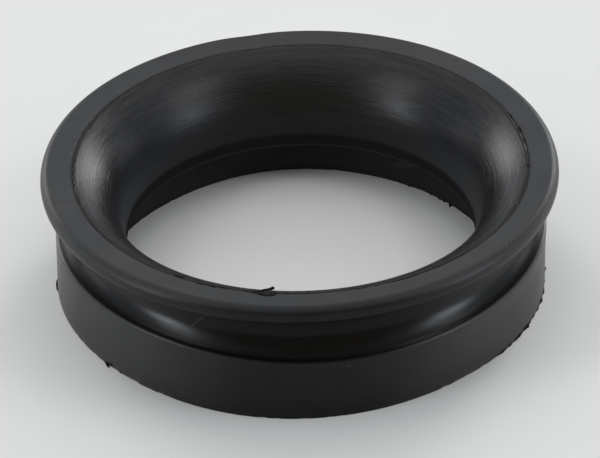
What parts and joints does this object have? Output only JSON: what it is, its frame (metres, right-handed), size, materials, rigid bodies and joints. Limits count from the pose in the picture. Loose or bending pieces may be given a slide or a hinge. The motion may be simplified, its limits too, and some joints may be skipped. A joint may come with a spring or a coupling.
{
  "type": "cup seal ring",
  "caption": "Moulded black rubber cup seal ring: a bell mouth narrows to a short throat, with a rounded sealing lip above a deep outer groove and a plain skirt that seats in a bore.",
  "frame": {"origin": "centre of the foot, at the bottom of the ring", "axes": "+Z along the ring's axis, from the foot to the wide mouth; X and Y across the ring, which is the same all round"},
  "size_m": [0.1078, 0.1078, 0.0286],
  "materials": {
    "moulded_rubber": "matte black rubber as moulded, with turned mould marks in the mouth and a glossier groove"
  },
  "bodies": {
    "root": {"seal_ring": "moulded_rubber"}
  },
  "joints": []
}
